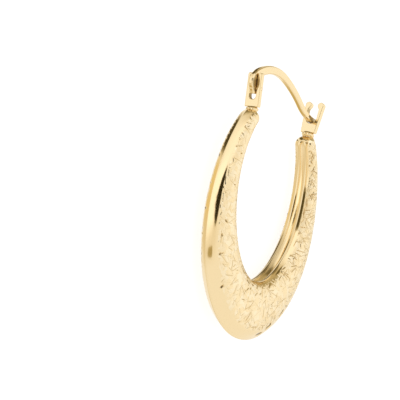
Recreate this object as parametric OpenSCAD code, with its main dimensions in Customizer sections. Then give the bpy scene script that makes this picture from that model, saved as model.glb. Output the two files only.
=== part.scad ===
// Creole hoop earring of yellow gold, lying on its side.
// X runs from the hinge to the catch, Y from the belly of the hoop to the ear wire,
// and Z is the axis of the hoop, up from the surface that it lies on.

/* [Hoop outline] */
// Half width of the centre line, from the middle of the hoop to a limb
line_half_w = 8.8; // [8.6:0.05:9]
// Half height of the centre line, from the middle to the belly
line_half_h = 12.2; // [12:0.05:12.4]
// Angle from the lowest point round to each end of the hoop
end_angle = 141; // [140:0.5:142]
// How far the hinge end stands out from the ellipse of the centre line
hinge_flare = 0.15; // [0.1:0.05:0.25]
// How far the catch end stands out from the ellipse of the centre line
catch_flare = 0.55; // [0.45:0.05:0.6]

/* [Hoop section] */
// Depth of the section at the belly, in the plane of the hoop
belly_depth = 6.7; // [6.4:0.1:7]
// Depth of the section at the two ends
end_depth = 1.5; // [1.3:0.05:1.7]
// How fast the depth falls off from the belly to the ends
depth_power = 1.34; // [1.2:0.02:1.5]
// Share of the depth that lies outside the centre line
outer_share = 0.39; // [0.36:0.01:0.42]
// Thickness of the belly, along the axis
belly_thick = 3.95; // [3.7:0.05:4.2]
// Thickness of the two ends
end_thick = 2.2; // [2:0.05:2.4]
// Length of the rounded shoulder at each end
dome_len = 0.8; // [0.6:0.1:1]
// Share of the section that is left at the tip of the shoulder
dome_tip = 0.55; // [0.45:0.05:0.6]

/* [Hinge bracket and catch] */
// Distance across from the middle of the hoop to the foot of the hinge bracket
hinge_x = 5.65; // [5.6:0.05:5.75]
// Distance across from the middle of the hoop to the foot of the catch
catch_x = 6.4; // [6.35:0.05:6.5]
// Height of the foot of each plate above the middle of the hoop
plate_y = 10; // [9.9:0.05:10.1]
// Outward lean of both plates, in degrees
plate_lean = 7; // [5:1:9]
// Thickness of both plates
plate_depth = 0.55; // [0.5:0.01:0.6]
// Width of the feet of both plates, along the axis
plate_w = 1.8; // [1.75:0.05:1.9]
// Height of the hinge bracket
bracket_h = 3.8; // [3.6:0.1:4]
// Height of the bottom of the slot in the bracket
slot_foot = 0.85; // [0.8:0.05:0.95]
// Height of the catch to the tops of its two heads
catch_h = 3.6; // [3.5:0.05:3.7]
// Width across the two heads of the catch
catch_w = 2.33; // [2.2:0.02:2.4]
// Width of the way in between the two heads
throat_w = 0.84; // [0.82:0.01:0.9]
// Radius of the rounded notch in the catch
notch_r = 0.68; // [0.66:0.01:0.7]
// Height of the bottom of the notch
notch_foot = 1.08; // [1.02:0.02:1.1]
// Diameter of the collar under each plate
collar_d = 1.45; // [1.4:0.05:1.5]
// Height of the collar
collar_h = 0.5; // [0.4:0.05:0.6]

/* [Ear wire] */
// Width of the wire, along the axis
wire_w = 0.68; // [0.64:0.01:0.7]
// Thickness of the wire at its foot, in the plane of the hoop
wire_t = 1.08; // [0.98:0.02:1.1]
// Thickness of the wire at its tip
tip_t = 0.6; // [0.56:0.01:0.64]
// How far the heel of the wire stands out on the outer side of the bracket
heel_out = 0.52; // [0.4:0.02:0.54]
// Rounding of the edges of the wire
wire_round = 0.2; // [0.12:0.02:0.24]
// Gap on each side of the wire in the bracket
side_gap = 0.07; // [0.06:0.01:0.08]

/* [Hinge pin] */
// Diameter of the pin
pin_d = 0.36; // [0.34:0.01:0.38]
// Height of the pin above the foot of the bracket
pin_y = 2.05; // [2:0.05:2.1]
// Distance from the pin down to the cut end of the wire
foot_len = 0.6; // [0.55:0.05:0.6]
// Radial clearance of the wire on the pin
run_gap = 0.03; // [0.02:0.01:0.04]
// Radial clearance of the pin in the two ears of the bracket
seat_gap = 0.01; // [0.01:0.01:0.02]

/* [Hidden] */
$fn = 48;
gold = [0.93, 0.76, 0.42];
pale_gold = [0.96, 0.83, 0.55];
deep_gold = [0.82, 0.64, 0.3];

// Section of the hoop from its outer keel to its inner seam
// [share of the depth, share of the half thickness]
SECTION = [
    [0.000, 0.00],
    [0.035, 0.17],
    [0.100, 0.44],
    [0.160, 0.61],
    [0.240, 0.76],
    [0.340, 0.88],
    [0.450, 0.96],
    [0.570, 1.00],
    [0.690, 0.98],
    [0.800, 0.90],
    [0.890, 0.77],
    [0.955, 0.58],
    [0.985, 0.38],
    [0.970, 0.18],
    [0.925, 0.00]
];

// Runs of the ear wire from its cut end in the bracket to its tip
// [length, turn to the left in degrees]
WIRE_RUNS = [
    [1.80, 0],
    [0.68, -64],
    [5.60, -51],
    [4.50, -16],
    [3.00, 26],
    [0.40, 6]
];

// Heel of the ear wire, where the wire passes through the bracket
// [distance from the cut end, share of heel_out]
HEEL = [
    [0.00, 0.00],
    [0.30, 0.22],
    [0.55, 0.50],
    [0.82, 0.78],
    [1.10, 0.97],
    [1.35, 1.00],
    [1.65, 0.92],
    [1.82, 0.80],
    [1.97, 0.52],
    [2.14, 0.12],
    [2.40, 0.00]
];

body_stations = 66;
dome_stations = 5;
wire_step = 0.18;
tip_stations = 4;
round_points = 4;

// Angles of the sections, closer together in the two shoulders
dome_turn = dome_len / norm([line_half_w * cos(end_angle), line_half_h * sin(end_angle)]) * 180 / PI;
body_turn = end_angle - dome_turn;
DOME_ANGLES = [for (i = [1 : dome_stations]) body_turn + dome_turn * sin(90 * i / dome_stations)];
STATIONS = concat(
    [for (i = [dome_stations - 1 : -1 : 0]) -DOME_ANGLES[i]],
    [for (i = [0 : body_stations]) body_turn * (2 * i / body_stations - 1)],
    DOME_ANGLES
);

// How near a section is to the belly, from 0 at the very top to 1 at the belly
function belly_share(a) = (1 + cos(a)) / 2;
function section_depth(a) = end_depth + (belly_depth - end_depth) * pow(belly_share(a), depth_power);
function section_thick(a) = end_thick + (belly_thick - end_thick) * belly_share(a);
function flare(a) = (a < 0 ? -hinge_flare : catch_flare) * pow(max(0, abs(a) - 90) / (end_angle - 90), 2);
function centre(a) = [line_half_w * sin(a) + flare(a), -line_half_h * cos(a)];
function outward(a) = let (n = [line_half_h * sin(a), -line_half_w * cos(a)]) n / norm(n);
// Size of a section against its full size, which falls off in the shoulders
function shoulder(a) =
    let (s = min(1, (end_angle - abs(a)) / dome_turn))
    dome_tip + (1 - dome_tip) * sqrt(max(0, 1 - (1 - s) * (1 - s)));

// Point of the section at angle a: share of the depth, then share of the half thickness
function hoop_point(a, depth_share, thick_share) =
    let (
        size = shoulder(a),
        along = (outer_share - depth_share) * section_depth(a) * size,
        p = centre(a) + outward(a) * along
    )
    [p.x, p.y, thick_share * section_thick(a) / 2 * size];

section_last = len(SECTION) - 1;
// Both halves of the section as one closed ring, lower half first
RING = concat(
    [for (i = [0 : section_last]) [SECTION[i][0], -SECTION[i][1]]],
    [for (i = [section_last - 1 : -1 : 1]) SECTION[i]]
);

// Faces of a tube of rings, closed at both ends
function tube_faces(rings, sides) = concat(
    [[for (j = [0 : sides - 1]) j]],
    [for (i = [0 : rings - 2], j = [0 : sides - 1])
        let (first = i * sides, second = first + sides, k = (j + 1) % sides)
        [first + j, second + j, second + k, first + k]],
    [[for (j = [sides - 1 : -1 : 0]) (rings - 1) * sides + j]]
);

// Ear wire: stations along its centre line as [x, y, heading, distance from the cut end]
slot_w = wire_w + 2 * side_gap;
lean_up = [-sin(plate_lean), cos(plate_lean)];
bracket_foot = [-hinge_x, plate_y];
pin_at = bracket_foot + lean_up * pin_y;
wire_start = concat(pin_at - lean_up * foot_len, [90 + plate_lean, 0]);
// Station at a share of a run that begins at the station from
function along_run(from, run, share) =
    let (
        turn = run[1] * share,
        half = abs(turn) / 2,
        chord = run[0] * share * (half == 0 ? 1 : sin(half) * 180 / PI / half),
        mid = from[2] + turn / 2
    )
    [from[0] + chord * cos(mid), from[1] + chord * sin(mid), from[2] + turn, from[3] + run[0] * share];
function run_start(k) = k == 0 ? wire_start : along_run(run_start(k - 1), WIRE_RUNS[k - 1], 1);
WIRE_LINE = concat(
    [wire_start],
    [for (k = [0 : len(WIRE_RUNS) - 1])
        let (from = run_start(k), run = WIRE_RUNS[k], steps = ceil(run[0] / wire_step))
        for (i = [1 : steps]) along_run(from, run, i / steps)]
);
// Rounded rectangle of the wire as shares of [its thickness, its width]
WIRE_RING = [
    for (corner = [[1, 1], [-1, 1], [-1, -1], [1, -1]], i = [0 : round_points - 1])
        let (
            first = corner == [1, 1] ? 0 : corner == [-1, 1] ? 90 : corner == [-1, -1] ? 180 : 270,
            a = first + 90 * i / (round_points - 1)
        )
        [
            corner[0] * (0.5 - wire_round / wire_t) + wire_round / wire_t * cos(a),
            corner[1] * (0.5 - wire_round / wire_w) + wire_round / wire_w * sin(a)
        ]
];
// The tip is rounded off over half a wire thickness past the last station
function tip_size(i) = cos(78 * i / tip_stations);
WIRE_TIP = [
    for (i = [1 : tip_stations])
        let (last = WIRE_LINE[len(WIRE_LINE) - 1], reach = tip_t / 2 * sin(90 * i / tip_stations))
        [last[0] + reach * cos(last[2]), last[1] + reach * sin(last[2]), last[2], last[3]]
];
WIRE_STATIONS = concat(WIRE_LINE, WIRE_TIP);
function wire_size(i) = i < len(WIRE_LINE) ? 1 : tip_size(i - len(WIRE_LINE) + 1);
wire_length = WIRE_LINE[len(WIRE_LINE) - 1][3];
function wire_thick(i) = wire_t + (tip_t - wire_t) * WIRE_STATIONS[i][3] / wire_length;
function heel(i) = heel_out * lookup(WIRE_STATIONS[i][3], HEEL);

// The part is moved so that its box is centred on X and Y and stands on Z = 0
hoop_bottom = -line_half_h - outer_share * belly_depth;
// The outermost points of a ring lie half a thickness from its centre, less its rounding
wire_top = max([
    for (i = [0 : len(WIRE_LINE) - 1])
        let (edge_round = wire_round / wire_t, flat = 0.5 - edge_round)
        WIRE_LINE[i][1] + wire_thick(i) * (flat * abs(cos(WIRE_LINE[i][2])) + edge_round)
]);
seat = [0, -(hoop_bottom + wire_top) / 2, belly_thick / 2];

// A plate's own frame: X through the plate, Y up the plate from its foot
module at_plate(side) {
    translate([side < 0 ? -hinge_x : catch_x, plate_y, 0])
        rotate([0, 0, -side * plate_lean])
            children();
}

// Outline drawn as [along the axis, up the plate], given the thickness of a plate
module plate() {
    rotate([0, -90, 0])
        linear_extrude(height = plate_depth, center = true)
            children();
}

module hoop_body() {
    points = [for (a = STATIONS, s = RING) hoop_point(a, s[0], s[1])];
    polyhedron(points, tube_faces(len(STATIONS), len(RING)), convexity = 6);
}

module collar() {
    rotate([-90, 0, 0])
        translate([0, 0, -collar_h])
            cylinder(d = collar_d, h = collar_h + plate_depth / 4);
}

module bracket_outline() {
    ear_w = (plate_w - slot_w) / 2;
    ear_z = (plate_w - ear_w) / 2;
    shoulder_y = bracket_h - ear_w / 2;
    difference() {
        union() {
            translate([-plate_w / 2, 0])
                square([plate_w, shoulder_y]);
            for (side = [-1, 1])
                translate([side * ear_z, shoulder_y])
                    circle(d = ear_w);
        }
        translate([0, slot_foot + slot_w / 2])
            circle(d = slot_w);
        translate([-slot_w / 2, slot_foot + slot_w / 2])
            square([slot_w, bracket_h]);
    }
}

module hinge_bracket() {
    difference() {
        plate()
            bracket_outline();
        translate([0, pin_y, 0])
            cylinder(d = pin_d + 2 * seat_gap, h = plate_w + 1, center = true);
    }
}

module catch_outline() {
    head_r = (catch_w - throat_w) / 4;
    head_z = (catch_w + throat_w) / 4;
    head_y = catch_h - head_r;
    notch_y = notch_foot + notch_r;
    difference() {
        polygon([
            [-plate_w / 2, 0],
            [plate_w / 2, 0],
            [catch_w / 2, head_y],
            [-catch_w / 2, head_y]
        ]);
        translate([0, notch_y])
            circle(r = notch_r);
        translate([-notch_r, notch_y])
            square([2 * notch_r, head_y - head_r - notch_y]);
        translate([-throat_w / 2, notch_y])
            square([throat_w, catch_h]);
    }
    for (side = [-1, 1])
        translate([side * head_z, head_y])
            circle(r = head_r);
}

module catch_fork() {
    plate()
        catch_outline();
}

module hoop() {
    color(gold)
        translate(seat)
            union() {
                hoop_body();
                at_plate(-1) {
                    collar();
                    hinge_bracket();
                }
                at_plate(1) {
                    collar();
                    catch_fork();
                }
            }
}

module ear_wire() {
    points = [
        for (i = [0 : len(WIRE_STATIONS) - 1], r = WIRE_RING)
            let (
                s = WIRE_STATIONS[i],
                across = r[0] * wire_thick(i) * wire_size(i) + (r[0] > 0 ? heel(i) : 0)
            )
            [s[0] - across * sin(s[2]), s[1] + across * cos(s[2]), r[1] * wire_w * wire_size(i)]
    ];
    color(pale_gold)
        translate(seat)
            difference() {
                polyhedron(points, tube_faces(len(WIRE_STATIONS), len(WIRE_RING)), convexity = 4);
                translate(pin_at)
                    cylinder(d = pin_d + 2 * run_gap, h = plate_w, center = true);
            }
}

module hinge_pin() {
    color(deep_gold)
        translate(seat + [pin_at.x, pin_at.y, 0])
            cylinder(d = pin_d, h = plate_w, center = true);
}

hoop();
ear_wire();
hinge_pin();
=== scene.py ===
"""Creole hoop earring of yellow gold, lying on its side on a pale floor.

The hoop is two stamped halves that meet at the outer keel and the inner seam, with short
crossing cuts in their flanks. A slotted bracket and a forked catch stand on its two ends,
each on a collar, and the ear wire turns on a rivet in the bracket.

X runs from the hinge to the catch, Y from the belly of the hoop to the ear wire, and Z is
the axis of the hoop, up from the floor. Sizes are in millimetres until a piece is finished,
and angles in the tables are in degrees.
"""

import math
import random

import bmesh
import bpy
import numpy as np
from mathutils import Matrix, Vector


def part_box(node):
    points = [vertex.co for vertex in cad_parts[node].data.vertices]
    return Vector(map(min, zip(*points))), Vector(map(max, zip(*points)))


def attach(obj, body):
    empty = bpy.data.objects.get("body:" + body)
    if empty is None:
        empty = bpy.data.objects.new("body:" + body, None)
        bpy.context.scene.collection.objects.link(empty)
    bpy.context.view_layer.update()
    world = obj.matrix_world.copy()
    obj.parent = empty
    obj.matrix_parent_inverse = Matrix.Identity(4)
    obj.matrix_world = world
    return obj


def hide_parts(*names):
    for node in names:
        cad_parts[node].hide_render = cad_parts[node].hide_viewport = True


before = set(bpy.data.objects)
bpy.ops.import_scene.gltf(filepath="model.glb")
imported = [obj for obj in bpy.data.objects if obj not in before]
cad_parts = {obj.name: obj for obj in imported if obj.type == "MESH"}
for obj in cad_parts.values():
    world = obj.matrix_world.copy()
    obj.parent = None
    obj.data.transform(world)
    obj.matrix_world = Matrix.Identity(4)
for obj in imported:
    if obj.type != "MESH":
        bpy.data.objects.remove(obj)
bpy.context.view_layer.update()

MM = 0.001

# Hoop outline and section
LINE_HALF_W = 8.8
LINE_HALF_H = 12.2
END_ANGLE = 141
FLARE_FROM = 90
HINGE_FLARE = 0.15
CATCH_FLARE = 0.55
BELLY_DEPTH = 6.7
END_DEPTH = 1.5
DEPTH_POWER = 1.34
OUTER_SHARE = 0.39
BELLY_THICK = 3.95
END_THICK = 2.2
DOME_LEN = 0.8
DOME_TIP = 0.55

# Section from the outer keel to the inner seam: share of the depth, share of the half thickness
SECTION = [
    (0.000, 0.00),
    (0.035, 0.17),
    (0.100, 0.44),
    (0.160, 0.61),
    (0.240, 0.76),
    (0.340, 0.88),
    (0.450, 0.96),
    (0.570, 1.00),
    (0.690, 0.98),
    (0.800, 0.90),
    (0.890, 0.77),
    (0.955, 0.58),
    (0.985, 0.38),
    (0.970, 0.18),
    (0.925, 0.00),
]

# Hinge bracket and catch
HINGE_X = 5.65
CATCH_X = 6.4
PLATE_Y = 10
PLATE_LEAN = 7
PLATE_DEPTH = 0.55
PLATE_W = 1.8
BRACKET_H = 3.8
BRACKET_ROUND = 0.09
SLOT_FOOT = 0.85
CATCH_H = 3.6
CATCH_W = 2.33
CATCH_ROUND = 0.06
THROAT_W = 0.84
NOTCH_R = 0.68
NOTCH_FOOT = 1.08
# How far round the heads of the catch go, and how far below them the notch opens
HEAD_TURN = 225
NECK_DROP = 0.1

# Collars, with the profile from foot to top: how far inside the radius, height from the plate's foot
COLLAR_D = 1.45
COLLAR_H = 0.5
COLLAR_NECK = 0.19
COLLAR_PROFILE = [
    (COLLAR_D / 2, -0.58),
    (COLLAR_NECK, -0.58),
    (COLLAR_NECK, -0.48),
    (0.11, -0.43),
    (0.03, -0.35),
    (0.00, -0.25),
    (0.03, -0.15),
    (0.11, -0.07),
    (COLLAR_NECK, -0.03),
    (COLLAR_NECK, 0.05),
    (COLLAR_D / 2, 0.05),
]

# Ear wire and its rivet
WIRE_W = 0.68
WIRE_T = 1.08
TIP_T = 0.6
TIP_TURN = 84
WIRE_ROUND = 0.2
WIRE_END_ROUND = 0.05
# How far the wire's inner and outer sides stand inside those of its solid
WIRE_HAIR = 0.001
SIDE_GAP = 0.07
PIN_D = 0.36
PIN_Y = 2.05
PIN_ROUND = 0.02
FOOT_LEN = 0.6
RUN_GAP = 0.03
SEAT_GAP = 0.01

# Runs of the ear wire from its cut end to its tip: length, turn to the left
WIRE_RUNS = [
    (1.80, 0),
    (0.68, -64),
    (5.60, -51),
    (4.50, -16),
    (3.00, 26),
    (0.40, 6),
]

# Heel of the ear wire: distance from the cut end, share of HEEL_OUT
HEEL_OUT = 0.52
HEEL = [
    (0.00, 0.00),
    (0.30, 0.22),
    (0.55, 0.50),
    (0.82, 0.78),
    (1.10, 0.97),
    (1.35, 1.00),
    (1.65, 0.92),
    (1.82, 0.80),
    (1.97, 0.52),
    (2.14, 0.12),
    (2.40, 0.00),
]
# Crease across the heel
CREASE_AT = 0.62
CREASE_W = 0.07
CREASE_DEPTH = 0.06

# Fineness of the meshes
STATIONS = 930
STATION_SAMPLES = 4001
COLUMNS = 101
COLUMN_SAMPLES = 2001
SLOT_STEPS = 24
EAR_STEPS = 16
HEAD_STEPS = 20
NOTCH_STEPS = 28
BORE_SIDES = 48
COLLAR_SIDES = 48
RIVET_SIDES = 40
WIRE_STEP = 0.05
CORNER_STEPS = 5
TIP_STEPS = 7
PLATE_EDGE_STEPS = 3
FINE_EDGE_STEPS = 2
# Vertices closer than MERGE are one, and TINY keeps a division from zero
MERGE = 1e-5
TINY = 1e-12

# Shading is sharp past these angles, and edges past RIM_ANGLE are rounded
FLANK_SHARP = 35
PIECE_SHARP = 50
RIM_ANGLE = 40
# Width of the rim inside a flat face, and of the flats before and after a corner of the wire as
# a share of the corner's radius: they keep the shading of the flats flat
FLAT_RIM = 0.012
CORNER_HOLD = 0.06
# Faces of a plate and of the rivet past these areas get such a rim
PLATE_FLAT = 0.15
RIVET_FLAT = 0.05

# The stations are evenly apart along a line this share of the way from the centre line to the keel
EVEN_LINE = 0.6
# The columns stand closer from CLOSE_LEAD before the cuts to CLOSE_TO, in shares of the depth,
# and STRIP_SPACING times wider elsewhere, as also past ROLL_UNDER of the section's length
CLOSE_LEAD = 0.06
CLOSE_TO = 0.95
ROLL_UNDER = 0.86
STRIP_SPACING = 2.6
# Groove where the two halves meet at the keel, and the columns that shape it
KEEL_GROOVE = 0.022
GROOVE_COLUMNS = [0.0025, 0.005]
# The cuts end before this column, and the seam under the inner roll begins at this one
CUT_COLUMNS = 88
SEAM_COLUMN = 94

# Cuts of the flanks. Their chains begin before CUTS_TO of the depth, and none begins within
# END_MARGIN degrees of an end.
CUTS = 900
CUT_TRIES = 9
CUTS_TO = 0.93
END_MARGIN = 6
CUT_LENGTH = (0.6, 1.7)
CUT_HALF_W = (0.06, 0.1)
CUT_DEPTH = (0.035, 0.09)
SHALLOW_POWER = 1.5
DEEPEST = 0.1
# Cuts in a chain, of which one is drawn, and the turn between two of them
CHAINS = (1, 1, 2, 2, 3)
CHAIN_TURN = (25, 75)
# Shares of a cut's length in which its start and its end fade, and how far past them it begins
CUT_ENDS = (0.2, 0.1)
CUT_LEAD = 0.02
# How far along the hoop a cut is followed, against the longest that is drawn on the belly
CUT_REACH = 1.6
# On the limb of the catch there are more cuts, and they are longer and narrower
LIMB_EXTRA = 0.45
LIMB_CUTS = (50, 90)
CRISP_LIMB = (45, 80)
CRISP_LONGER = 0.5
CRISP_NARROWER = 0.35
# Angle round the hoop, share of their depth that the cuts have there
CUT_STRENGTH = [(-80, 0.66), (-45, 0.88), (45, 0.88), (80, 1.15)]
# The finish of the flank begins this far before the cuts and ends in the inner roll
FLANK_LEAD = (0.045, 0.02)
FLANK_FALL = (0.925, 0.95)

# Single cuts that stand out: angle round the hoop, share of the depth, turn from the way out of
# the hoop, length, half width, depth. What a depth has past DEEPEST makes the painted shade in the
# cut darker and the floor of the cut wider, and no deeper.
UPPER_MARKS = [
    (-112, 0.6, 30, 0.5, 0.08, 0.12),
    (-94, 0.62, 20, 0.5, 0.08, 0.12),
    (-75, 0.3, 140, 0.6, 0.15, 0.17),
    (-68, 0.27, 75, 0.5, 0.1, 0.15),
    (-58, 0.24, 50, 0.5, 0.12, 0.16),
    (-42, 0.82, 100, 1.0, 0.15, 0.26),
    (-40, 0.22, 30, 0.6, 0.13, 0.17),
    (-31, 0.83, 85, 0.8, 0.15, 0.26),
    (-24, 0.42, 130, 0.9, 0.09, 0.11),
    (-20, 0.86, 100, 1.2, 0.15, 0.26),
    (-2, 0.92, 335, 0.5, 0.09, 0.14),
    (12, 0.07, 100, 1.4, 0.22, 0.28),
    (12, 0.9, 335, 1.1, 0.1, 0.14),
    (14, 0.26, 20, 0.6, 0.12, 0.15),
    (18, 0.12, 115, 2.0, 0.24, 0.3),
    (20, 0.3, 345, 0.7, 0.12, 0.15),
    (27, 0.36, 10, 0.6, 0.12, 0.15),
    (32, 0.2, 110, 1.5, 0.24, 0.3),
    (36, 0.85, 50, 2.3, 0.05, 0.09),
    (52, 0.9, 5, 1.1, 0.08, 0.14),
    (58, 0.87, 45, 1.9, 0.06, 0.11),
    (68, 0.91, 345, 0.8, 0.08, 0.13),
    (88, 0.86, 75, 1.2, 0.05, 0.1),
    (102, 0.87, 70, 1.2, 0.05, 0.1),
    (110, 0.9, 70, 2.1, 0.05, 0.11),
    (110, 0.92, 5, 0.5, 0.05, 0.1),
    (118, 0.9, 60, 1.2, 0.05, 0.1),
    (123, 0.9, 100, 0.3, 0.09, 0.13),
    (124, 0.78, 105, 0.6, 0.06, 0.11),
    (125, 0.9, 70, 1.3, 0.05, 0.1),
    (132, 0.88, 325, 0.6, 0.05, 0.09),
]
LOWER_MARKS = [
    (-128, 0.07, 196, 0.6, 0.1, 0.13),
    (-121, 0.08, 150, 0.4, 0.08, 0.12),
    (-117, 0.06, 172, 0.6, 0.1, 0.13),
    (-107, 0.07, 205, 0.7, 0.09, 0.12),
    (-103, 0.09, 158, 0.5, 0.1, 0.13),
    (-92, 0.06, 188, 0.5, 0.11, 0.13),
    (-86, 0.08, 140, 0.6, 0.08, 0.12),
    (-79, 0.06, 214, 0.4, 0.1, 0.13),
    (-70, 0.07, 165, 0.7, 0.09, 0.12),
    (-66, 0.09, 221, 0.5, 0.08, 0.12),
    (-57, 0.06, 178, 0.5, 0.1, 0.13),
]
# A mark fades at both ends, so it is drawn longer than it looks
MARK_STRETCH = 1.2
MARK_ENDS = (0.55, 0.45)

# Painted shade in the gold, and where it begins and is full or is full and ends: by the share of
# the depth for an edge, and by the angle round the hoop for a rise or a fall
# Painted shade along the keel groove where the halves meet
KEEL_SHADE = 0.15
KEEL_EDGE = (0.01, 0.04)
# Painted darker reflection in the inner roll of the lower half, towards the catch's limb
ROLL_SHADE = 0.45
ROLL_EDGE = (0.92, 0.96)
ROLL_RISE = (20, 45)
ROLL_FALL = (72, 92)
# A painted dark reflection line in the upper roll on the limb of the catch, and the matt strip beside
# it
LINE_SHADE = 1.6
LINE_EDGE = (0.95, 0.962)
STRIP_EDGES = ((0.82, 0.86), (0.955, 0.965))
LIMB_RISE = (82, 88)
LIMB_FALL = (106, 114)
# Painted shade round the collars, in the slot and in the notch, by the distance past their walls
COLLAR_SHADE = 0.4
COLLAR_EDGE = (-0.1, 0.12)
CREASE_EDGE = (0.02, 0.1)
WALL_EDGE = (0.01, 0.05)
NOTCH_SHADE = 0.75
# The throat pales towards the heads of the catch, by the distance below their middles
THROAT_FADE = (0.6, 0.2)
# Painted shade on the side walls of the wire's foot, by the distance from the cut end and by how
# far inside the walls, and at the wire's tip, by the distance before it
FOOT_SHADE = 0.7
FOOT_RISE = (0.1, 0.4)
FOOT_FALL = (1.4, 2.3)
WIRE_SIDE = (0.1, 0.02)
TIP_SHADE = 0.6
TIP_RISE = (1.6, 0.6)

SLOT_W = WIRE_W + 2 * SIDE_GAP
WIRE_LEN = sum(length for length, turn in WIRE_RUNS)
LEAN_UP = np.array([-math.sin(math.radians(PLATE_LEAN)), math.cos(math.radians(PLATE_LEAN))])
PIN_AT = np.array([-HINGE_X, PLATE_Y]) + LEAN_UP * PIN_Y

# The middle of the hoop in the frame, from the place of the rivet's CAD solid
pin_low, pin_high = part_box("hinge_pin")
SEAT = np.array([
    (pin_low.x + pin_high.x) / 2 / MM - PIN_AT[0],
    (pin_low.y + pin_high.y) / 2 / MM - PIN_AT[1],
    (pin_low.z + pin_high.z) / 2 / MM,
])


def ramp(x, low, high):
    """0 below low, 1 above high, and smooth in between."""
    t = np.clip((x - low) / (high - low), 0, 1)
    return t * t * (3 - 2 * t)


def band(x, rise, fall):
    """1 from the end of the rise to the start of the fall, and 0 before and after them."""
    return ramp(x, *rise) * (1 - ramp(x, *fall))


# Meshes

def as_object(name, bm):
    """An object of the scene, with the bmesh as its mesh."""
    mesh = bpy.data.meshes.new(name)
    bm.to_mesh(mesh)
    bm.free()
    piece = bpy.data.objects.new(name, mesh)
    bpy.context.scene.collection.objects.link(piece)
    return piece


def finish_mesh(name, bm, body, node, sharp=PIECE_SHARP):
    """A piece from a bmesh in millimetres about the middle of the hoop."""
    bmesh.ops.translate(bm, verts=bm.verts, vec=SEAT)
    bmesh.ops.scale(bm, verts=bm.verts, vec=(MM, MM, MM))
    piece = as_object(name, bm)
    piece.data.shade_smooth()
    piece.data.set_sharp_from_angle(angle=math.radians(sharp))
    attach(piece, body)
    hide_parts(node)
    return piece


def tube(points, **layers):
    """A closed tube through points[row, column], with each layer's values at its vertices."""
    rows, columns = points.shape[:2]
    bm = bmesh.new()
    bmesh.ops.create_grid(bm, x_segments=rows - 1, y_segments=columns, size=1)
    for label in layers:
        bm.verts.layers.float.new(label)
    kept = [(bm.verts.layers.float[label], values) for label, values in layers.items()]
    for v in bm.verts:
        i = round((v.co.x + 1) / 2 * (rows - 1))
        # the grid's last column meets its first
        j = round((v.co.y + 1) / 2 * columns) % columns
        v.co = points[i, j]
        for layer, values in kept:
            v[layer] = values[i, j]
    bmesh.ops.remove_doubles(bm, verts=bm.verts, dist=MERGE)
    bmesh.ops.holes_fill(bm, edges=[e for e in bm.edges if e.is_boundary])
    bmesh.ops.recalc_face_normals(bm, faces=bm.faces)
    return bm


def bevel(bm, edges, offset, segments):
    """Rounds edges of a bmesh."""
    bmesh.ops.bevel(
        bm, geom=edges, offset=offset, affect="EDGES", segments=segments, profile=0.5, material=-1
    )


def round_rims(bm, offset, segments, least_flat):
    """Rounds the sharp edges, and insets the flats past an area by a hair to keep them flat."""
    rims = [e for e in bm.edges if e.calc_face_angle(0) > math.radians(RIM_ANGLE)]
    bevel(bm, rims, offset, segments)
    flats = [f for f in bm.faces if f.calc_area() > least_flat]
    bmesh.ops.inset_individual(bm, faces=flats, thickness=FLAT_RIM, depth=0)


def bored(bm, at, diameter, length):
    """The bmesh with a round hole along the axis of the hoop."""
    tool = bmesh.new()
    bmesh.ops.create_cone(
        tool,
        cap_ends=True,
        segments=BORE_SIDES,
        radius1=diameter / 2,
        radius2=diameter / 2,
        depth=length,
    )
    bmesh.ops.translate(tool, verts=tool.verts, vec=(at[0], at[1], 0))
    blank = as_object("blank", bm)
    drill = as_object("drill", tool)
    cut = blank.modifiers.new("bore", "BOOLEAN")
    cut.operation = "DIFFERENCE"
    cut.solver = "EXACT"
    cut.object = drill
    made = bpy.data.meshes.new_from_object(blank.evaluated_get(bpy.context.evaluated_depsgraph_get()))
    result = bmesh.new()
    result.from_mesh(made)
    for piece in (blank, drill):
        mesh = piece.data
        bpy.data.objects.remove(piece)
        bpy.data.meshes.remove(mesh)
    bpy.data.meshes.remove(made)
    return result


def mark_recess(bm, law):
    """Keeps how much shade is painted on each vertex, from 0 to 1 by law(x, y, z)."""
    recess = bm.verts.layers.float.new("recess")
    for v in bm.verts:
        v[recess] = float(law(*v.co))


# Laws of the hoop, by the angle a from its lowest point in radians

def belly_share(a):
    """1 at the lowest point and 0 opposite it."""
    return (1 + np.cos(a)) / 2


def section_depth(a):
    """Depth of the section, from the keel to the inside of the hoop."""
    return END_DEPTH + (BELLY_DEPTH - END_DEPTH) * belly_share(a) ** DEPTH_POWER


def section_thick(a):
    """Thickness of the section along the axis of the hoop."""
    return END_THICK + (BELLY_THICK - END_THICK) * belly_share(a)


def centre_line(a):
    """Points of the oval that the sections stand on."""
    past = np.maximum(0, np.degrees(np.abs(a)) - FLARE_FROM) / (END_ANGLE - FLARE_FROM)
    flare = np.where(a < 0, -HINGE_FLARE, CATCH_FLARE) * past ** 2
    return np.stack([LINE_HALF_W * np.sin(a) + flare, -LINE_HALF_H * np.cos(a)], -1)


def outward(a):
    """The way out of the hoop, as unit vectors."""
    n = np.stack([LINE_HALF_H * np.sin(a), -LINE_HALF_W * np.cos(a)], -1)
    return n / np.linalg.norm(n, axis=-1, keepdims=True)


def shoulder(a):
    """Size of the section against its full size, smaller in the domes of the two ends."""
    end = math.radians(END_ANGLE)
    dome_turn = DOME_LEN / math.hypot(LINE_HALF_W * math.cos(end), LINE_HALF_H * math.sin(end))
    s = np.minimum(1, (end - np.abs(a)) / dome_turn)
    return DOME_TIP + (1 - DOME_TIP) * np.sqrt(np.maximum(0, 1 - (1 - s) ** 2))


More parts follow.
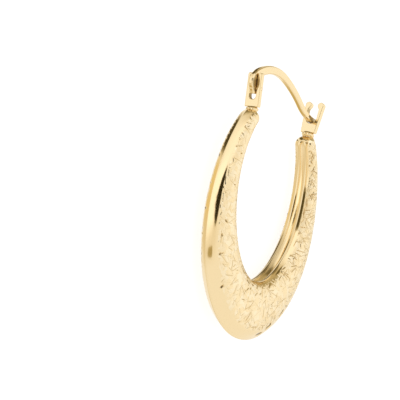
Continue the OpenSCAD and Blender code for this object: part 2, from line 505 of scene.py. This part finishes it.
def section_curve(shares):
    """Smooth curve through SECTION at shares of its length, as (depth share, thickness share)."""
    knots = np.array(SECTION)
    p = np.vstack([knots[0] * 2 - knots[1], knots, knots[-1] * 2 - knots[-2]])
    # the section is deeper than it is thick
    step = np.linalg.norm(np.diff(knots * (2, 1), axis=0), axis=1)
    at = np.concatenate([[0], np.cumsum(step)]) / step.sum()
    k = np.clip(np.searchsorted(at, shares, side="right") - 1, 0, len(knots) - 2)
    t = ((shares - at[k]) / (at[k + 1] - at[k]))[:, None]
    p0, p1, p2, p3 = p[k], p[k + 1], p[k + 2], p[k + 3]
    return 0.5 * (2 * p1 + (p2 - p0) * t + (2 * p0 - 5 * p1 + 4 * p2 - p3) * t ** 2
                  + (3 * p1 - p0 - 3 * p2 + p3) * t ** 3)


# Halves of the hoop

def station_angles():
    """Angles of the stations round the hoop, in radians."""
    a = np.radians(np.linspace(-END_ANGLE, END_ANGLE, STATION_SAMPLES))
    line = centre_line(a) + outward(a) * (OUTER_SHARE * section_depth(a) * EVEN_LINE)[:, None]
    run = np.concatenate([[0], np.cumsum(np.linalg.norm(np.diff(line, axis=0), axis=1))])
    return np.interp(np.linspace(0, run[-1], STATIONS), run, a)


def column_shares(first_share):
    """Shares of the section's length at the columns, closer together in the cut flank."""
    t = np.linspace(0, 1, COLUMN_SAMPLES)
    depth_share = section_curve(t)[:, 0]
    close = (depth_share > first_share - CLOSE_LEAD) & (depth_share < CLOSE_TO) & (t < ROLL_UNDER)
    count = np.concatenate([[0], np.cumsum(np.where(close, 1, 1 / STRIP_SPACING)[:-1])])
    even = np.interp(np.linspace(0, count[-1], COLUMNS - len(GROOVE_COLUMNS)), count, t)
    return np.sort(np.concatenate([even, GROOVE_COLUMNS]))


def smooth_half(a, curve):
    """Points of a half before it is cut, by station and column."""
    size = shoulder(a)
    along = (OUTER_SHARE - curve[:, 0]) * (section_depth(a) * size)[:, None]
    flat = centre_line(a)[:, None] + outward(a)[:, None] * along[:, :, None]
    high = np.minimum(curve[:, 1], 1) * (section_thick(a) * size)[:, None] / 2
    groove = KEEL_GROOVE * np.clip(1 - high / KEEL_GROOVE, 0, 1) * (curve[:, 0] < 0.5)
    flat = flat - outward(a)[:, None] * groove[:, :, None]
    return np.concatenate([flat, high[:, :, None]], axis=2)


def flank_normals(points):
    """Unit normals out of the flank at the points of a half."""
    normal = np.cross(np.gradient(points, axis=0), np.gradient(points, axis=1))
    return normal / (np.linalg.norm(normal, axis=2, keepdims=True) + TINY)


def cut_chance(points, turn, depth_share, first_share):
    """Running sum over the vertices of the area in which each one begins a cut."""
    tall = np.linalg.norm(np.gradient(points, axis=0), axis=2)
    wide = np.linalg.norm(np.gradient(points, axis=1), axis=2)
    flank = (depth_share > first_share) & (depth_share < CUTS_TO)
    flank = flank & (np.arange(COLUMNS) < CUT_COLUMNS)
    limb = (1 + LIMB_EXTRA * ramp(turn, *LIMB_CUTS)) * (np.abs(turn) < END_ANGLE - END_MARGIN)
    return np.cumsum(tall * wide * flank * limb[:, None])


def cut_chains(stroke, points, turn, chance, draw):
    """Strikes chains of cuts that zigzag, each in the emptiest of a few places of the flank."""
    middles = np.zeros((0, 3))
    while len(middles) < CUTS:
        tries = np.searchsorted(chance, [draw.random() * chance[-1] for _ in range(CUT_TRIES)])
        places = points.reshape(-1, 3)[tries]
        empty = np.zeros(CUT_TRIES)
        if len(middles):
            empty = np.linalg.norm(places[:, None] - middles, axis=2).min(axis=1)
        best = int(empty.argmax())
        i = tries[best] // COLUMNS
        x, y, z = places[best]
        crisp = float(ramp(turn[i], *CRISP_LIMB))
        strength = np.interp(turn[i], *zip(*CUT_STRENGTH))
        heading = draw.uniform(0, math.tau)
        for _ in range(draw.choice(CHAINS)):
            length = draw.uniform(*CUT_LENGTH) * (1 + CRISP_LONGER * crisp)
            half_w = draw.uniform(*CUT_HALF_W) * (1 - CRISP_NARROWER * crisp)
            deep = CUT_DEPTH[0] + (CUT_DEPTH[1] - CUT_DEPTH[0]) * draw.random() ** SHALLOW_POWER
            end_x, end_y = stroke(i, x, y, heading, length, half_w, deep * strength, CUT_ENDS)
            middles = np.vstack([middles, ((x + end_x) / 2, (y + end_y) / 2, z)])
            x, y = end_x, end_y
            heading += math.pi + draw.choice((-1, 1)) * math.radians(draw.uniform(*CHAIN_TURN))


def cut_depths(points, a, depth_share, first_share, marks, seed):
    """Depth of the cuts at each vertex of a half, and its share of the cut flank's finish."""
    depth = np.zeros((STATIONS, COLUMNS))
    spacing = np.linalg.norm(points[1:, 0] - points[:-1, 0], axis=1).max()
    reach = int(CUT_LENGTH[1] / spacing * CUT_REACH)

    def stroke(i, x, y, heading, length, half_w, deep, ends):
        """Strikes a straight V cut from x, y near station i, and returns its far end."""
        dx, dy = math.cos(heading), math.sin(heading)
        near = slice(max(0, i - reach), i + reach), slice(0, CUT_COLUMNS)
        px = points[near][:, :, 0] - x
        py = points[near][:, :, 1] - y
        u = (px * dx + py * dy) / length
        off = np.abs(py * dx - px * dy) / half_w
        taper = ramp(u, -CUT_LEAD, ends[0]) * ramp(1 - u, -CUT_LEAD, ends[1])
        depth[near] = np.maximum(depth[near], deep * taper * np.maximum(0, 1 - off))
        return x + dx * length, y + dy * length

    turn = np.degrees(a)
    chance = cut_chance(points, turn, depth_share, first_share)
    cut_chains(stroke, points, turn, chance, random.Random(seed))
    # the polished strip at the keel and the inner roll stay smooth
    rise = [first_share - lead for lead in FLANK_LEAD]
    flank = band(depth_share, rise, FLANK_FALL) * (np.arange(COLUMNS) < CUT_COLUMNS)
    depth *= flank
    for angle, share, swing, length, half_w, deep in marks:
        i = int(np.abs(a - math.radians(angle)).argmin())
        k = int(np.abs(depth_share[:CUT_COLUMNS] - share).argmin())
        x, y = points[i, k, :2]
        out = outward(a[i])
        heading = math.atan2(out[1], out[0]) + math.radians(swing)
        stroke(i, x, y, heading, length * MARK_STRETCH, half_w, deep, MARK_ENDS)
    return depth, np.tile(flank, (STATIONS, 1))


def half_tone(a, depth_share, side):
    """How much shade is painted on each vertex of a half, and how much duller it is."""
    turn = np.degrees(a)[:, None]
    column = np.arange(COLUMNS)
    keel = KEEL_SHADE * (1 - ramp(depth_share, *KEEL_EDGE)) * (column < COLUMNS / 2)
    if side > 0:
        limb = band(turn, LIMB_RISE, LIMB_FALL) * (column < SEAM_COLUMN)
        # a painted dark reflection line near the inner seam
        painted_line = limb * LINE_SHADE * ramp(depth_share, *LINE_EDGE)
        return np.maximum(keel, painted_line), limb * band(depth_share, *STRIP_EDGES)
    # painted darker reflection in the inner roll, towards the catch's limb
    roll = ROLL_SHADE * band(turn, ROLL_RISE, ROLL_FALL) * ramp(depth_share, *ROLL_EDGE)
    return np.maximum(keel, roll), np.zeros((STATIONS, COLUMNS))


def collar_recess(points):
    """Painted shade: COLLAR_SHADE at the feet of the collars on the hoop, and 0 a little way off them.
    """
    foot_y = PLATE_Y - LEAN_UP[1] * COLLAR_H
    shade = 0
    for foot_x in (-HINGE_X - LEAN_UP[0] * COLLAR_H, CATCH_X + LEAN_UP[0] * COLLAR_H):
        far = np.linalg.norm(points - (foot_x, foot_y, 0), axis=2)
        shade = shade + COLLAR_SHADE * (1 - ramp(far - COLLAR_D / 2, *COLLAR_EDGE))
    return shade


def hoop_half(name, side, first_share, marks, seed):
    """One stamped half of the hoop, with cuts from first_share of the depth inwards."""
    a = station_angles()
    curve = section_curve(column_shares(first_share))
    points = smooth_half(a, curve)
    depth, flank = cut_depths(points, a, curve[:, 0], first_share, marks, seed)
    points = points - flank_normals(points) * np.minimum(depth, DEEPEST)[:, :, None]
    points[:, :, 2] = np.maximum(points[:, :, 2], 0) * side
    recess, matt = half_tone(a, curve[:, 0], side)
    # painted shade round the feet of the collars
    recess = np.maximum(recess, collar_recess(points))
    bm = tube(points, cut=depth / CUT_DEPTH[1], flank=flank, recess=recess, matt=matt)
    return finish_mesh(name, bm, "hoop", "hoop", FLANK_SHARP)


# Plates of the bracket and the catch

def arc(centre, radius, first, last, steps):
    """Points of an arc, by the angle from the first coordinate."""
    ways = [math.radians(first + (last - first) * k / steps) for k in range(steps + 1)]
    return [(centre[0] + radius * math.cos(w), centre[1] + radius * math.sin(w)) for w in ways]


def bracket_outline():
    """Outline of the bracket as (along the axis, up the plate)."""
    ear_w = (PLATE_W - SLOT_W) / 2
    ear_z = (PLATE_W - ear_w) / 2
    ear_y = BRACKET_H - ear_w / 2
    slot_y = SLOT_FOOT + SLOT_W / 2
    return (
        [(-PLATE_W / 2, 0), (PLATE_W / 2, 0)]
        + arc((ear_z, ear_y), ear_w / 2, 0, 180, EAR_STEPS)
        + arc((0, slot_y), SLOT_W / 2, 0, -180, SLOT_STEPS)
        + arc((-ear_z, ear_y), ear_w / 2, 0, 180, EAR_STEPS)
    )


def catch_outline():
    """Outline of the catch: two round heads above a notch."""
    head_r = (CATCH_W - THROAT_W) / 4
    head_z = (CATCH_W + THROAT_W) / 4
    head_y = CATCH_H - head_r
    notch_y = NOTCH_FOOT + NOTCH_R
    neck_y = head_y - head_r - NECK_DROP
    right = arc((head_z, head_y), head_r, 0, HEAD_TURN, HEAD_STEPS)
    left = [(-z, y) for z, y in reversed(right)]
    return (
        [(-PLATE_W / 2, 0), (PLATE_W / 2, 0)]
        + right
        + [(NOTCH_R, neck_y)]
        + arc((0, notch_y), NOTCH_R, 0, -180, NOTCH_STEPS)
        + [(-NOTCH_R, neck_y)]
        + left
    )


def slot_recess(x, y, z):
    """Painted shade: 1 on the walls of the bracket's slot."""
    slot_y = SLOT_FOOT + SLOT_W / 2
    off = math.hypot(z, min(0, y - slot_y))
    return 1 - ramp(off - SLOT_W / 2, *WALL_EDGE)


def notch_recess(x, y, z):
    """Painted shade: NOTCH_SHADE on the walls of the catch's notch, and less in its throat."""
    head_y = CATCH_H - (CATCH_W - THROAT_W) / 4
    off = math.hypot(z, min(0, y - NOTCH_FOOT - NOTCH_R))
    inner = 1 - ramp(off - NOTCH_R, *WALL_EDGE)
    low, high = [head_y - below for below in THROAT_FADE]
    return NOTCH_SHADE * inner * (1 - ramp(y, low, high))


def at_plate(bm, side):
    """Moves a bmesh from a plate's own frame to its place on the hoop."""
    turn = Matrix.Rotation(math.radians(-side * PLATE_LEAN), 4, "Z")
    foot = Matrix.Translation((-HINGE_X if side < 0 else CATCH_X, PLATE_Y, 0))
    bmesh.ops.transform(bm, matrix=foot @ turn, verts=bm.verts)


def plate(name, outline, side, law, rounding):
    """A flat plate of the outline, with its edges rounded, and bored on the side of the hinge."""
    bm = bmesh.new()
    front = bm.faces.new([bm.verts.new((-PLATE_DEPTH / 2, y, z)) for z, y in outline])
    made = bmesh.ops.extrude_face_region(bm, geom=[front])
    back = [g for g in made["geom"] if isinstance(g, bmesh.types.BMVert)]
    bmesh.ops.translate(bm, verts=back, vec=(PLATE_DEPTH, 0, 0))
    bmesh.ops.recalc_face_normals(bm, faces=bm.faces)
    round_rims(bm, rounding, PLATE_EDGE_STEPS, PLATE_FLAT)
    # painted shade in the slot or in the notch
    mark_recess(bm, law)
    at_plate(bm, side)
    if side < 0:
        bm = bored(bm, PIN_AT, PIN_D + 2 * SEAT_GAP, 2 * PLATE_W)
    return finish_mesh(name, bm, "hoop", "hoop")


# Collars

def collar_crease_shade(x, y, z):
    """Painted shade: 1 in the crease under the plate, and COLLAR_SHADE in the crease on the hoop."""
    shade = 1 if y > -COLLAR_H / 2 else COLLAR_SHADE
    neck_r = COLLAR_D / 2 - COLLAR_NECK
    return shade * (1 - ramp(math.hypot(x, z) - neck_r, *CREASE_EDGE))


def collar(name, side):
    """The short ring between a plate and its end of the hoop."""
    bm = bmesh.new()
    line = [bm.verts.new((COLLAR_D / 2 - inside, y, 0)) for inside, y in COLLAR_PROFILE]
    edges = [bm.edges.new(pair) for pair in zip(line, line[1:])]
    bmesh.ops.spin(
        bm,
        geom=line + edges,
        cent=(0, 0, 0),
        axis=(0, 1, 0),
        angle=math.tau,
        steps=COLLAR_SIDES,
        use_merge=True,
    )
    bmesh.ops.remove_doubles(bm, verts=bm.verts, dist=MERGE)
    bmesh.ops.recalc_face_normals(bm, faces=bm.faces)
    # painted shade in the collar's creases
    mark_recess(bm, collar_crease_shade)
    at_plate(bm, side)
    return finish_mesh(name, bm, "hoop", "hoop")


# Ear wire and rivet

def wire_stations():
    """Stations of the wire as (x, y, heading, distance from the cut end)."""
    start = PIN_AT - LEAN_UP * FOOT_LEN
    stations = [(start[0], start[1], 90 + PLATE_LEAN, 0)]
    gone = 0
    for length, turn in WIRE_RUNS:
        x, y, heading, _ = stations[-1]
        steps = math.ceil(length / WIRE_STEP)
        for k in range(1, steps + 1):
            share = k / steps
            half = math.radians(abs(turn) * share / 2)
            chord = length * share * (math.sin(half) / half if half else 1)
            way = math.radians(heading + turn * share / 2)
            stations.append((
                x + chord * math.cos(way),
                y + chord * math.sin(way),
                heading + turn * share,
                gone + length * share,
            ))
        gone += length
    return stations


def wire_rows():
    """Rows of the wire: x, y, heading, thickness, size of the section, heel, distance."""
    heel_at, heel_share = zip(*HEEL)
    rows = []
    for x, y, heading, gone in wire_stations():
        thick = WIRE_T + (TIP_T - WIRE_T) * gone / WIRE_LEN
        crease = CREASE_DEPTH * math.exp(-((gone - CREASE_AT) / CREASE_W) ** 2)
        heel = HEEL_OUT * np.interp(gone, heel_at, heel_share) - crease
        rows.append((x, y, heading, thick, 1, heel, gone))
    # the tip is round
    way = math.radians(heading)
    for k in range(1, TIP_STEPS + 1):
        turn = math.radians(TIP_TURN * k / TIP_STEPS)
        reach = TIP_T / 2 * math.sin(turn)
        at = x + reach * math.cos(way), y + reach * math.sin(way)
        rows.append((*at, heading, TIP_T, math.cos(turn), 0, WIRE_LEN))
    return rows


def wire_ring():
    """Rounded rectangle of the wire: signs of the corner, then the way round the corner."""
    ring = []
    for quarter, signs in enumerate(((1, 1), (-1, 1), (-1, -1), (1, -1))):
        around = arc((0, 0), 1, 90 * quarter, 90 * quarter + 90, CORNER_STEPS)
        first, last = around[0], around[-1]
        before = (first[0] - last[0] * CORNER_HOLD, first[1] - last[1] * CORNER_HOLD)
        after = (last[0] - first[0] * CORNER_HOLD, last[1] - first[1] * CORNER_HOLD)
        ring += [signs + way for way in [before, *around, after]]
    return ring


def wire_recess(gone, up):
    """Painted shade on the wire: on the side walls of its foot, and at its tip."""
    side_wall = ramp(np.abs(up), *[WIRE_W / 2 - inside for inside in WIRE_SIDE])
    foot = FOOT_SHADE * band(gone, FOOT_RISE, FOOT_FALL) * side_wall
    tip = TIP_SHADE * ramp(gone, *[WIRE_LEN - before for before in TIP_RISE])
    return np.maximum(foot, tip)


def ear_wire():
    """The wire that goes through the ear, from its cut end on the rivet to its tip."""
    x, y, heading, thick, size, heel, gone = np.array(wire_rows()).T[:, :, None]
    across_sign, up_sign, across_way, up_way = np.array(wire_ring()).T
    corner = across_sign * (thick / 2 - WIRE_ROUND - WIRE_HAIR)
    across = (corner + across_way * WIRE_ROUND) * size + heel * (across_sign > 0)
    up = (up_sign * (WIRE_W / 2 - WIRE_ROUND) + up_way * WIRE_ROUND) * size
    way = np.radians(heading)
    points = np.stack([x - across * np.sin(way), y + across * np.cos(way), up], -1)
    # painted shade on the wire's foot and tip
    bm = tube(points, recess=wire_recess(gone, up))
    start = Vector((x[0, 0], y[0, 0], 0))
    cut_end = min(bm.faces, key=lambda face: (face.calc_center_median() - start).length)
    bevel(bm, list(cut_end.edges), WIRE_END_ROUND, FINE_EDGE_STEPS)
    bm = bored(bm, PIN_AT, PIN_D + 2 * RUN_GAP, 2 * PLATE_W)
    return finish_mesh("wire_arch", bm, "ear_wire", "ear_wire")


def rivet():
    """The pin through the bracket and the wire, flush with the bracket's sides."""
    bm = bmesh.new()
    bmesh.ops.create_cone(
        bm,
        cap_ends=True,
        segments=RIVET_SIDES,
        radius1=PIN_D / 2,
        radius2=PIN_D / 2,
        depth=PLATE_W,
    )
    round_rims(bm, PIN_ROUND, FINE_EDGE_STEPS, RIVET_FLAT)
    bmesh.ops.translate(bm, verts=bm.verts, vec=(PIN_AT[0], PIN_AT[1], 0))
    return finish_mesh("rivet", bm, "hoop", "hinge_pin")


# name, side of the seam, share of the depth from which it is cut, marks, seed
upper_half = hoop_half("upper_half", 1, 0.2, UPPER_MARKS, 11)
lower_half = hoop_half("lower_half", -1, 0.13, LOWER_MARKS, 23)

# A plate or a collar of side -1 stands by the hinge, and one of side 1 by the catch
bracket = plate("slotted_bracket", bracket_outline(), -1, slot_recess, BRACKET_ROUND)
catch = plate("forked_catch", catch_outline(), 1, notch_recess, CATCH_ROUND)
hinge_collar = collar("hinge_collar", -1)
catch_collar = collar("catch_collar", 1)
wire = ear_wire()
pin = rivet()


# Materials

# Gold, a paler tone for painted glints, and darker tones for painted shade
TONES = {
    "Gold": (0.95, 0.77, 0.47, 1),
    "Painted Glint Gold": (0.98, 0.84, 0.58, 1),
    "Painted Cut Shade Gold": (0.64, 0.46, 0.22, 1),
    "Painted Shade Gold": (0.35, 0.25, 0.1, 1),
    "Painted Deep Shade Gold": (0.11, 0.075, 0.02, 1),
}
# Each over the ones before it: mask, where the tone begins and is full, tone
TONE_STEPS = [
    # Painted glints on some of the facets
    ("Facet", 0.2, 1.0, "Painted Glint Gold"),
    # Painted shade in the cuts, darker as they are deeper, and where shade is painted on the pieces
    ("Cut", 0.1, 0.85, "Painted Cut Shade Gold"),
    ("Cut", 0.95, 1.3, "Painted Shade Gold"),
    ("Cut", 1.1, 1.8, "Painted Deep Shade Gold"),
    ("Recess", 0.05, 0.95, "Painted Shade Gold"),
    ("Recess", 1.0, 1.6, "Painted Deep Shade Gold"),
]
# Facets to a metre, and how far they rise against the unevenness
FACET_SCALE = 2300
FACET_RISE = 1.5
# Roughness that the unevenness, the painted shade and the matt strip add
UNEVEN_DULL = 0.08
PAINTED_SHADE_DULL = 0.25
MATT_DULL = 0.42
NOISE_DETAIL = 3


def plug(tree, socket, value):
    """Links a node's output to a socket, or sets the socket to a number or colour."""
    if isinstance(value, bpy.types.NodeSocket):
        tree.links.new(value, socket)
    else:
        socket.default_value = value


def math_node(tree, operation, *values):
    """The result of a math node."""
    node = tree.nodes.new("ShaderNodeMath")
    node.operation = operation
    for socket, value in zip(node.inputs, values):
        plug(tree, socket, value)
    return node.outputs["Value"]


def smooth_share(tree, value, low, high):
    """0 where the value is low, 1 where it is high, and smooth in between."""
    share = tree.nodes.new("ShaderNodeMapRange")
    share.interpolation_type = "SMOOTHSTEP"
    share.inputs["From Min"].default_value = low
    share.inputs["From Max"].default_value = high
    tree.links.new(value, share.inputs["Value"])
    return share.outputs["Result"]


def mix_node(tree, kind, mask, under, over):
    """The mix of two colours (kind Color) or numbers (kind Float) by a mask."""
    mix = tree.nodes.new("ShaderNodeMix")
    mix.data_type = "RGBA" if kind == "Color" else "FLOAT"
    sockets = {socket.identifier: socket for socket in [*mix.inputs, *mix.outputs]}
    plug(tree, sockets["Factor_Float"], mask)
    plug(tree, sockets["A_" + kind], under)
    plug(tree, sockets["B_" + kind], over)
    return sockets["Result_" + kind]


def node_group(name, inputs, outputs):
    """A new node group with named sockets: its tree, its given values and its result."""
    tree = bpy.data.node_groups.new(name, "ShaderNodeTree")
    for sockets, way in ((inputs, "INPUT"), (outputs, "OUTPUT")):
        for label, kind in sockets:
            tree.interface.new_socket(label, in_out=way, socket_type="NodeSocket" + kind)
    given = tree.nodes.new("NodeGroupInput").outputs
    result = tree.nodes.new("NodeGroupOutput").inputs
    return tree, given, result


def gold_tone():
    """Node group: the tone of the gold, with painted glints on its facets and painted shade in its
    cuts, creases and hollows.
    """
    inputs = [(tone, "Color") for tone in TONES]
    inputs += [(mask, "Float") for mask in ("Facet", "Cut", "Recess")]
    tree, given, result = node_group("gold_tone", inputs, [("Color", "Color")])
    last = given["Gold"]
    for mask, low, high, tone in TONE_STEPS:
        share = smooth_share(tree, given[mask], low, high)
        last = mix_node(tree, "Color", share, last, given[tone])
    tree.links.new(last, result["Color"])
    return tree


def cut_facets():
    """Node group: small facets between the cuts, each turned its own way; the tone paints glints on
    some of them.
    """
    inputs = [("Vector", "Vector"), ("Flank", "Float")]
    tree, given, result = node_group("cut_facets", inputs, [("Facet", "Float")])
    cells = tree.nodes.new("ShaderNodeTexVoronoi")
    cells.inputs["Scale"].default_value = FACET_SCALE
    tree.links.new(given["Vector"], cells.inputs["Vector"])
    own = tree.nodes.new("ShaderNodeSeparateColor")
    tree.links.new(cells.outputs["Color"], own.inputs["Color"])
    facet = math_node(tree, "MULTIPLY", own.outputs["Red"], given["Flank"])
    tree.links.new(facet, result["Facet"])
    return tree


def fine_wear():
    """Node group: the faint unevenness of polished gold, duller where shade is painted."""
    inputs = [("Vector", "Vector")]
    inputs += [(value, "Float") for value in ("Grain", "Roughness", "Recess", "Matt")]
    outputs = [("Height", "Float"), ("Roughness", "Float")]
    tree, given, result = node_group("fine_wear", inputs, outputs)
    noise = tree.nodes.new("ShaderNodeTexNoise")
    noise.inputs["Detail"].default_value = NOISE_DETAIL
    tree.links.new(given["Vector"], noise.inputs["Vector"])
    tree.links.new(given["Grain"], noise.inputs["Scale"])
    tree.links.new(noise.outputs["Fac"], result["Height"])
    dull = given["Roughness"]
    for value, most in (
        (noise.outputs["Fac"], UNEVEN_DULL),
        (given["Recess"], PAINTED_SHADE_DULL),
        (given["Matt"], MATT_DULL),
    ):
        dull = math_node(tree, "MULTIPLY_ADD", value, most, dull)
    tree.links.new(dull, result["Roughness"])
    return tree


TONE = gold_tone()
FACET = cut_facets()
WEAR = fine_wear()


def gold(name, roughness, grain, swell):
    """Gold with painted shade in its cuts and hollows and painted glints on its facets; swell is the
    height of its unevenness in mm.
    """
    material = bpy.data.materials.new(name)
    material.use_nodes = True
    tree = material.node_tree
    shader = tree.nodes["Principled BSDF"]
    shader.inputs["Metallic"].default_value = 1
    groups = []
    for group in (TONE, FACET, WEAR):
        node = tree.nodes.new("ShaderNodeGroup")
        node.node_tree = group
        groups.append(node)
    tone, facet, wear = groups
    for label, colour in TONES.items():
        tone.inputs[label].default_value = colour
    wear.inputs["Grain"].default_value = grain
    wear.inputs["Roughness"].default_value = roughness
    for layer, nodes in (
        ("flank", (facet,)),
        ("cut", (tone,)),
        # the painted shade darkens the tone and dulls the gold
        ("recess", (tone, wear)),
        ("matt", (wear,)),
    ):
        attribute = tree.nodes.new("ShaderNodeAttribute")
        attribute.attribute_name = layer
        for node in nodes:
            tree.links.new(attribute.outputs["Fac"], node.inputs[layer.capitalize()])
    place = tree.nodes.new("ShaderNodeTexCoord")
    for node in (facet, wear):
        tree.links.new(place.outputs["Object"], node.inputs["Vector"])
    tree.links.new(facet.outputs["Facet"], tone.inputs["Facet"])
    height = math_node(tree, "MULTIPLY_ADD", facet.outputs["Facet"], FACET_RISE, wear.outputs["Height"])
    bump = tree.nodes.new("ShaderNodeBump")
    bump.inputs["Distance"].default_value = swell * MM
    tree.links.new(height, bump.inputs["Height"])
    tree.links.new(tone.outputs["Color"], shader.inputs["Base Color"])
    tree.links.new(wear.outputs["Roughness"], shader.inputs["Roughness"])
    tree.links.new(bump.outputs["Normal"], shader.inputs["Normal"])
    return material


# name, roughness, grain, swell, then the pieces
for material, pieces in (
    (gold("cut_flank_gold", 0.05, 700, 0.008), (upper_half, lower_half)),
    (gold("fitting_gold", 0.07, 1500, 0.005), (bracket, catch, hinge_collar, catch_collar, pin)),
    (gold("ear_wire_gold", 0.07, 900, 0.006), (wire,)),
):
    for piece in pieces:
        piece.data.materials.append(material)


# Camera

# The ways to the right and up in the photo, as the hoop lies
PHOTO_RIGHT = Vector((0.523, 0.190, 0.831))
PHOTO_UP = Vector((-0.229, 0.970, -0.078))
# Width of the picture at the hoop, and its middle from the middle of the hoop
FRAME_W = 44
AIM_RIGHT = -6.79
AIM_UP = 0.81
LENS = 600
SENSOR = 36
# Distances in metres between which the camera sees
CLIP = (0.05, 5)


def photo_camera():
    """The camera at the photo's angle to the hoop."""
    back = PHOTO_RIGHT.cross(PHOTO_UP).normalized()
    up = back.cross(PHOTO_RIGHT).normalized()
    lens = bpy.data.cameras.new("camera")
    lens.lens = LENS
    lens.sensor_width = SENSOR
    lens.clip_start, lens.clip_end = CLIP
    camera = bpy.data.objects.new("camera", lens)
    bpy.context.scene.collection.objects.link(camera)
    aim = Vector(SEAT) + PHOTO_RIGHT * AIM_RIGHT + up * AIM_UP
    away = FRAME_W * LENS / SENSOR
    axes = Matrix((PHOTO_RIGHT, up, back)).transposed().to_4x4()
    camera.matrix_world = Matrix.Translation((aim + back * away) * MM) @ axes
    return camera


bpy.context.scene.camera = photo_camera()


# Floor

# Half the floor's width in metres, and its grey and glow
FLOOR_HALF_W = 3
FLOOR_GREY = 0.38
FLOOR_GLOW = 0.8


def pale_paper():
    """Pale paper that mirror rays pass through, so that the gold mirrors the studio alone."""
    paper = bpy.data.materials.new("pale_floor")
    paper.use_nodes = True
    tree = paper.node_tree
    shader = tree.nodes["Principled BSDF"]
    shader.inputs["Base Color"].default_value = (FLOOR_GREY, FLOOR_GREY, FLOOR_GREY, 1)
    shader.inputs["Roughness"].default_value = 1
    shader.inputs["Specular IOR Level"].default_value = 0
    shader.inputs["Emission Color"].default_value = (1, 1, 1, 1)
    shader.inputs["Emission Strength"].default_value = FLOOR_GLOW
    path = tree.nodes.new("ShaderNodeLightPath")
    clear = tree.nodes.new("ShaderNodeBsdfTransparent")
    either = tree.nodes.new("ShaderNodeMixShader")
    factor, seen, mirrored = either.inputs
    tree.links.new(path.outputs["Is Glossy Ray"], factor)
    tree.links.new(shader.outputs["BSDF"], seen)
    tree.links.new(clear.outputs["BSDF"], mirrored)
    tree.links.new(either.outputs["Shader"], tree.nodes["Material Output"].inputs["Surface"])
    return paper


sheet = bmesh.new()
bmesh.ops.create_grid(sheet, x_segments=1, y_segments=1, size=FLOOR_HALF_W)
floor = as_object("floor", sheet)
floor.data.materials.append(pale_paper())


# Light

# Strength and warmth of the studio where it has no patch. Warmth goes from 0 for the plain light
# to 1 for the warm light that gold mirrors of gold.
STUDIO_BASE = (0.97, 0.05)
PLAIN = (1, 0.985, 0.965, 1)
WARM = (1, 0.76, 0.28, 1)
# Oval patches of the studio by direction: azimuth, elevation, half width, half height, softness
# as a share of the two, tilt, strength, warmth. Later rows lie over the earlier ones.
STUDIO = [
    (-165, 30, 16, 30, 0.5, 0, 0.9, 0.25),
    (175, -40, 38, 40, 0.4, 0, 0.8, 0.4),
    (128, 28, 18, 26, 0.5, 0, 1.14, 0),
    (168, 22, 26, 12, 0.4, 10, 1.24, 0),
    (12, 44, 34, 24, 0.5, 0, 1.06, 0),
    (76, 8, 28, 24, 0.5, 0, 0.55, 0.7),
    (66, 26, 14, 9, 0.5, 0, 0.38, 0.8),
    (48, 3, 12, 12, 0.5, 0, 0.42, 0.8),
    (95, -14, 10, 18, 0.3, 0, 0.22, 0.9),
    (94, 22, 8, 8, 0.3, 0, 0.15, 1),
    (76, -32, 34, 9, 0.3, 0, 0.11, 1),
    (80, -60, 21, 7, 0.4, 0, 0.08, 1),
    (0, -90, 15, 15, 0.5, 0, 0.8, 0.5),
    (90, -78, 14, 9, 0.4, 0, 0.84, 0.8),
    (-92, -33, 44, 15, 0.4, 0, 0.6, 0.9),
    (170, -33, 28, 13, 0.3, 0, 1.07, 0),
    (166, -7.5, 10, 17, 0.15, 0, 0.07, 1),
    (166, 41, 16.5, 14, 0.12, 34, 0.03, 1),
    (-150.5, 34, 3.9, 4.5, 0.2, 0, 0.46, 0.9),
]


def direction(azimuth, elevation):
    """Unit vector of a direction."""
    turn, rise = math.radians(azimuth), math.radians(elevation)
    return Vector((math.cos(rise) * math.cos(turn), math.cos(rise) * math.sin(turn), math.sin(rise)))


def dot_node(tree, vector, axis):
    """The dot product of a vector and a fixed axis."""
    node = tree.nodes.new("ShaderNodeVectorMath")
    node.operation = "DOT_PRODUCT"
    tree.links.new(vector, node.inputs[0])
    node.inputs[1].default_value = axis
    return node.outputs["Value"]


def patch_mask(tree, way, azimuth, elevation, half_w, half_h, soft, tilt):
    """1 in an oval patch of directions, and 0 outside it."""
    middle = direction(azimuth, elevation)
    level = direction(azimuth + 90, 0)
    turn = math.radians(tilt)
    across = level * math.cos(turn) + middle.cross(level) * math.sin(turn)
    squares = []
    for axis, half in ((across, half_w), (middle.cross(across), half_h)):
        off = math_node(tree, "DIVIDE", dot_node(tree, way, axis), math.sin(math.radians(half)))
        squares.append(math_node(tree, "MULTIPLY", off, off))
    far = math_node(tree, "SQRT", math_node(tree, "ADD", *squares))
    ahead = math_node(tree, "GREATER_THAN", dot_node(tree, way, middle), 0.0)
    return math_node(tree, "MULTIPLY", smooth_share(tree, far, 1 + soft, 1 - soft), ahead)


def studio_world():
    """The light all round, as patches of strength and warmth over an even base."""
    world = bpy.data.worlds.new("studio")
    world.use_nodes = True
    tree = world.node_tree
    background = tree.nodes["Background"]
    way = tree.nodes.new("ShaderNodeTexCoord").outputs["Generated"]
    strength, warmth = STUDIO_BASE
    for *shape, patch_strength, patch_warmth in STUDIO:
        mask = patch_mask(tree, way, *shape)
        strength = mix_node(tree, "Float", mask, strength, patch_strength)
        warmth = mix_node(tree, "Float", mask, warmth, patch_warmth)
    tree.links.new(mix_node(tree, "Color", warmth, PLAIN, WARM), background.inputs["Color"])
    tree.links.new(strength, background.inputs["Strength"])
    return world


bpy.context.scene.world = studio_world()
bpy.context.scene.view_settings.view_transform = "Standard"
